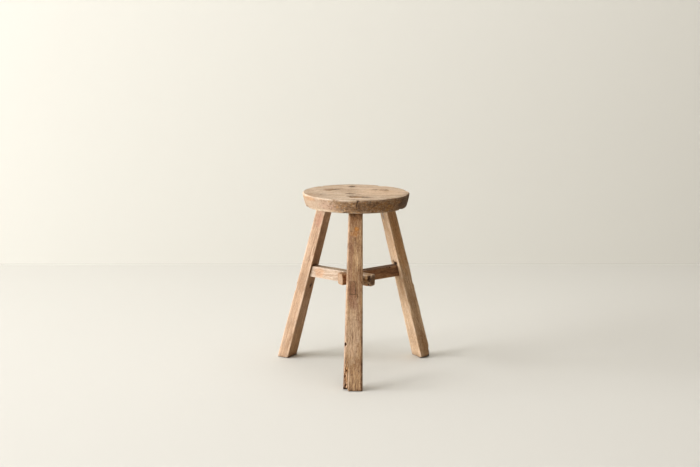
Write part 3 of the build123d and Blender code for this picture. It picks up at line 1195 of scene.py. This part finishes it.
SEAT_STAINS = [
    # (x, y, z) from the seat's centre, half sizes, colour, strength, raggedness
    # painted shade: the spots at (-8, -135), (100, -104), (150, -40) and (125, -65) darken the
    # front and right of the rim, which face away from the window
    ((-8, -135, 20), (76, 40, 19), (114, 86, 60), 0.8, 0.3),
    ((100, -104, 18), (62, 60, 24), (124, 92, 56), 0.75, 0.3),
    ((150, -40, 18), (34, 70, 26), (62, 42, 22), 0.95, 0.3),
    ((60, -130, 14), (46, 20, 9), (140, 100, 54), 0.7, 0.8),
    ((125, -65, 22), (30, 34, 16), DARK, 0.75, 0.6),
    ((38, -136, 28), (34, 12, 8), DARK, 0.45, 0.8),
    ((92, -108, 12), (24, 22, 8), MOSS, 0.7, 0.8),
    ((70, -122, 26), (16, 14, 5), MOSS, 0.6, 0.8),
    # grime and painted shade in the crack at the front of the rim
    ((8, -139, 20), (5, 8, 15), DARK, 0.75, 0.4),
    ((-110, -88, 20), (55, 55, 26), (178, 156, 134), 0.5, 0.5),
    ((-72, -118, 17), (40, 28, 14), ROSE, 0.5, 0.5),
    ((-62, -124, 33), (60, 30, 3.4), (128, 96, 68), 0.8, 0.5),
    ((-122, -62, 30), (30, 44, 8), (168, 124, 82), 0.8, 0.5),
    ((-70, -114, 3), (80, 44, 4), (206, 182, 156), 0.7, 0.4),
    ((0, 40, 37), (140, 100, 2), (206, 178, 148), 0.3, 0.6),
    ((60, 0, 37), (80, 70, 2), (208, 172, 136), 0.35, 0.6),
    ((-40, 60, 37), (60, 8, 2), (168, 144, 120), 0.5, 0.6),
    ((4, 78, 37), (9, 5, 2), CREAM, 0.8, 0.3),
    ((-94, -47, 37), (5, 7, 3), DARK, 0.7, 0.3),
    ((70, 56, 37), (20, 5, 2), CREAM, 0.7, 0.4),
    ((-8, -56, 37), (26, 5, 2), CREAM, 0.6, 0.4),
    ((-60, 36, 37), (26, 5, 2), CREAM, 0.5, 0.4),
    ((10, -112, 37), (90, 16, 2), (218, 196, 172), 0.5, 0.7),
    ((86, -96, 18), (6, 20, 5), (190, 138, 70), 0.7, 0.6),
    ((112, -80, 24), (8, 14, 5), (180, 130, 66), 0.7, 0.7),
    ((50, -130, 33), (14, 12, 3), (190, 140, 76), 0.7, 0.6),
    ((128, -56, 10), (8, 14, 4), (176, 128, 66), 0.6, 0.7),
    # grime and painted shade: the spots from here to the end darken the cracks of the top and
    # their edges, for the shade inside them
    ((-61, 51, 37), (19, 8, 3), CRACK_GRIME_AND_SHADE, 1.0, 0.35),
    ((-80, 47, 37), (8, 11, 3), CRACK_GRIME_AND_SHADE, 1.0, 0.2),
    ((-42, 62, 37), (16, 5, 3), (120, 88, 62), 0.7, 0.5),
    ((81, 44, 37), (8, 12, 3), CRACK_GRIME_AND_SHADE, 1.0, 0.2),
    ((60, 46, 37), (21, 7, 3), CRACK_GRIME_AND_SHADE, 0.95, 0.4),
    ((-9, -70, 37), (20, 9, 3), CRACK_GRIME_AND_SHADE, 1.0, 0.4),
    ((21, -84, 37), (22, 9, 3), CRACK_GRIME_AND_SHADE, 1.0, 0.5),
    ((-14, -29, 37), (20, 9, 3), DARK, 0.95, 0.4),
    ((8, -44, 37), (10, 6, 3), (110, 80, 54), 0.7, 0.4),
    ((-10, 103, 37), (12, 15, 3), CRACK_GRIME_AND_SHADE, 1.0, 0.3),
]


def seat_cutters():
    cutters = []
    for side in SIDES:
        holder = legs[side]
        tenon_a, tenon_b = holder.half_sizes[2]
        size = (tenon_a + JOINT_GAP, tenon_b + JOINT_GAP)
        cutters.append(prism(holder.place, (SEAT_LOW - 3, *size), (SEAT_HIGH + 4, *size)))
    for number, (start, stop, width, depth) in enumerate(SEAT_CRACKS):
        t = np.linspace(0, 1, 15)[:, None]
        start, stop = np.array(start, float), np.array(stop, float)
        plan = start * (1 - t) + stop * t
        path = np.column_stack([plan, np.full(15, SEAT_HIGH - 0.4)])
        path += (SEAT_X, SEAT_Y, 0)
        ahead = (stop - start) / np.linalg.norm(stop - start)
        side = np.array([-ahead[1], ahead[0], 0.0])
        cutters.append(blade(path, np.array([0.0, 0.0, 1.0]), side, width, depth, 500 + number))
    for number, (azimuth, low_share, high_share, width, depth) in enumerate(RIM_CRACKS):
        angle = math.radians(azimuth)
        t = np.linspace(low_share, high_share, 13)
        radius = SEAT_LOW_RADIUS + (SEAT_RADIUS - SEAT_LOW_RADIUS) * t
        x, y = math.cos(angle), math.sin(angle)
        height = SEAT_LOW + (SEAT_HIGH - SEAT_LOW) * t
        path = np.column_stack([SEAT_X + x * radius, SEAT_Y + y * radius, height])
        out, side = np.array([x, y, 0.0]), np.array([-y, x, 0.0])
        cutters.append(blade(path, out, side, width, depth, 540 + number))
    return cutters


cut(seat, seat_cutters())
points = points_of(seat)
x, y, z = points[:, 0] - SEAT_X, points[:, 1] - SEAT_Y, points[:, 2]
z = z + SEAT_LEAN * x
radius = np.hypot(x, y)
share = (z - SEAT_LOW) / (SEAT_HIGH - SEAT_LOW)
rim_radius = SEAT_LOW_RADIUS + (SEAT_RADIUS - SEAT_LOW_RADIUS) * share
top_edge = np.hypot(np.maximum(SEAT_RADIUS - radius, 0), SEAT_HIGH - z)
low_edge = np.hypot(np.maximum(SEAT_LOW_RADIUS - radius, 0), z - SEAT_LOW)
tenon_dirt = np.zeros(len(x))
for side in SIDES:
    holder = legs[side]
    _, a, b = holder.local(points)
    tenon_a, tenon_b = holder.half_sizes[2]
    distance = np.maximum(np.abs(a) - tenon_a, np.abs(b) - tenon_b)
    tenon_dirt = np.maximum(tenon_dirt, 0.7 * smooth(3.0, 0.4, distance))
inner = np.minimum(SEAT_HIGH - z, rim_radius - radius)
# darker inside cracks and the tenon holes: grime, and painted shade in the hollows
sunk = smooth(0.8, 2.2, inner) * (z > SEAT_LOW + 1.5)
rim_noise, turn = Noise(55), np.arctan2(y, x)
ticks = rim_noise(np.cos(turn) * 80, np.sin(turn) * 80, z / 22, octaves=2)
ticks = smooth(0.05, 0.45, ticks) * smooth(0.12, 0.3, share) * smooth(0.98, 0.85, share)
mottle = smooth(0.05, 0.5, rim_noise(x / 5, y / 5, z / 3.0, octaves=3))
at_rim = smooth(5, 2, np.abs(rim_radius - radius)) * (share < 0.98) * (share > 0.04)
# painted shade: the rim is painted darker on its front and right, away from the window, where its
# tool ticks, ochre flecks and dark mottle are laid more strongly
shaded = smooth(-0.6, 0.5, np.cos(turn + 0.7))
ends = smooth(0.35, 0.9, np.abs(np.cos(turn)))
flecks = smooth(0.12, 0.5, rim_noise(x / 6, y / 6, 20 + z / 2.6, octaves=2))
painted_shade_right = smooth(0.3, 0.9, np.cos(turn + 0.5))  # painted shade: the seat's right, which faces away from the window
near_top = smooth(3.6, 1.6, top_edge) * (z < SEAT_HIGH - 0.6)
paint = overlay(np.zeros((len(x), 4)), (158, 134, 110), 0.85 * at_rim)
paint = painted(x, y, z - SEAT_LOW, SEAT_STAINS, 1000, paint)
for rgb, amount in (
    ((124, 92, 66), at_rim * ticks * (0.3 + 0.3 * shaded)),
    ((190, 140, 82), 0.55 * at_rim * flecks * shaded * (1 - 0.6 * ends)),
    ((74, 50, 30), at_rim * mottle * (0.2 + 0.5 * shaded) * (1 - 0.35 * ends)),
    # painted shade: the right end of the rim is darkened most
    ((64, 42, 22), 0.7 * at_rim * smooth(0.7, 0.97, np.cos(turn))),
    # painted shade: the top arris on the seat's right is darkened
    ((84, 56, 30), 0.75 * painted_shade_right * near_top),
):
    paint = overlay(paint, rgb, amount)
finish_piece(
    seat, "seat", "seat_wood", seat_wood,
    grain=np.stack([x, y, z - SEAT_HIGH], 1) / CM,
    # painted shade: the light wear of the top arris fades on the right, and of the low arris on
    # the front and right, away from the window
    wear=np.maximum(smooth(7, 1.5, top_edge) * (1 - 0.85 * painted_shade_right),
                    0.8 * smooth(6, 1.5, low_edge) * (1 - 0.9 * shaded)),
    dirt=np.clip(0.35 * tenon_dirt + 0.25 * (share < 0.05) + sunk, 0, 1),
    knot=0 * x,
    end=0.35 * at_rim * smooth(0.5, 0.95, np.abs(x) / np.maximum(radius, 1)),
    paint=paint,
)


# ------------------------------------------------------------------ stage, light and camera
def plain(name, rgb, roughness):
    """A plain surface that isn't there when it is looked at from behind."""
    material = bpy.data.materials.new(name)
    n = Nodes(material)
    shader = n.add(
        "ShaderNodeBsdfPrincipled",
        {"Base Color": linear(*rgb), "Roughness": roughness, "Specular IOR Level": 0.1},
    )
    behind = n.add("ShaderNodeNewGeometry", {}, "Backfacing")
    clear = n.add("ShaderNodeBsdfTransparent", {})
    both = n.add("ShaderNodeMixShader", {0: behind, 1: shader, 2: clear})
    n.add("ShaderNodeOutputMaterial", {"Surface": both})
    return material


WALL_Y, COVE = 1430.0, 5.0
STAGE_HALF, STAGE_FRONT, STAGE_TOP = 9000.0, -9000.0, 3600.0
FLOOR_Z = -0.3  # just clear of the feet
sweep = [(STAGE_FRONT, FLOOR_Z), (WALL_Y - COVE, FLOOR_Z)]
for angle in np.linspace(10, 90, 9):
    angle = math.radians(angle)
    sweep.append((WALL_Y - COVE + COVE * math.sin(angle), FLOOR_Z + COVE * (1 - math.cos(angle))))
sweep.append((WALL_Y, STAGE_TOP))
stage_points = [(x, y, z) for y, z in sweep for x in (-STAGE_HALF, STAGE_HALF)]
stage_faces = [[2 * k, 2 * k + 1, 2 * k + 3, 2 * k + 2] for k in range(len(sweep) - 1)]
floor = make_object("floor", np.array(stage_points), stage_faces)
floor.data.materials.append(plain("pale_floor", (205, 203, 196), 0.8))
floor.data.materials.append(plain("pale_wall", (208, 206, 198), 0.8))
# painted shade: the cove where the floor meets the wall gets a slightly darker surface, a painted
# shade line in the corner
floor.data.materials.append(plain("wall_foot_shade", (198, 195, 187), 0.8))
for polygon in floor.data.polygons:
    height = polygon.center.z / MM
    polygon.material_index = 0 if height < 0.01 else 2 if height < COVE else 1
floor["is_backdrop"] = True


LAMPS = {  # place, aim (metres), size, watts, colour
    "window": ((-7.4, -1.75, 2.25), (0.0, 0.1, 0.3), (6.4, 4.8), 1350.0, (0.97, 0.98, 1.0)),
    "ceiling": ((0.2, -0.4, 3.4), (0.0, -0.2, 0.0), (3.0, 3.0), 62.0, (0.98, 0.98, 1.0)),
    "room": ((0.6, -4.6, 3.2), (0.0, 0.3, 0.2), (3.0, 2.0), 14.0, (1.0, 0.9, 0.76)),
}
for name, (place, aim, size, power, rgb) in LAMPS.items():
    data = bpy.data.lights.new(name, "AREA")
    data.shape, data.size, data.size_y = "RECTANGLE", *size
    data.energy, data.color = power, rgb
    lamp = bpy.data.objects.new(name, data)
    lamp.location = place
    lamp.rotation_euler = (Vector(aim) - Vector(place)).to_track_quat("-Z", "Y").to_euler()
    bpy.context.scene.collection.objects.link(lamp)

world = bpy.data.worlds.new("studio")
n = Nodes(world)
glow = n.add("ShaderNodeBackground", {"Color": (1.0, 0.82, 0.6, 1.0), "Strength": 0.19})
# what a camera sees past the stage
past = n.add("ShaderNodeBackground", {"Color": (0.72, 0.69, 0.62, 1.0)})
seen = n.add("ShaderNodeLightPath", {}, "Is Camera Ray")
both = n.add("ShaderNodeMixShader", {0: seen, 1: glow, 2: past})
n.add("ShaderNodeOutputWorld", {"Surface": both})
bpy.context.scene.world = world
view = bpy.context.scene.view_settings
view.view_transform = "Standard"
view.use_curve_mapping = True
for x, y in ((0.04, 0.027), (0.12, 0.1), (0.3, 0.29)):  # a gentle film toe
    view.curve_mapping.curves[3].points.new(x, y)
view.curve_mapping.update()

CAMERA_X, CAMERA_BACK, CAMERA_HEIGHT = -12.7, 3633.3, 1057.3
CAMERA_DOWN, LENS = 10.497, 70.44
camera_data = bpy.data.cameras.new("camera")
camera_data.lens, camera_data.sensor_width = LENS, 36.0
camera = bpy.data.objects.new("camera", camera_data)
camera.location = (CAMERA_X * MM, -CAMERA_BACK * MM, CAMERA_HEIGHT * MM)
camera.rotation_euler = (math.radians(90 - CAMERA_DOWN), 0, 0)
bpy.context.scene.collection.objects.link(camera)
bpy.context.scene.camera = camera

bpy.context.view_layer.update()
boxes = {"cad": cad_bounds, "visual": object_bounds()}
{key: [list(corner) for corner in box] for key, box in boxes.items()}
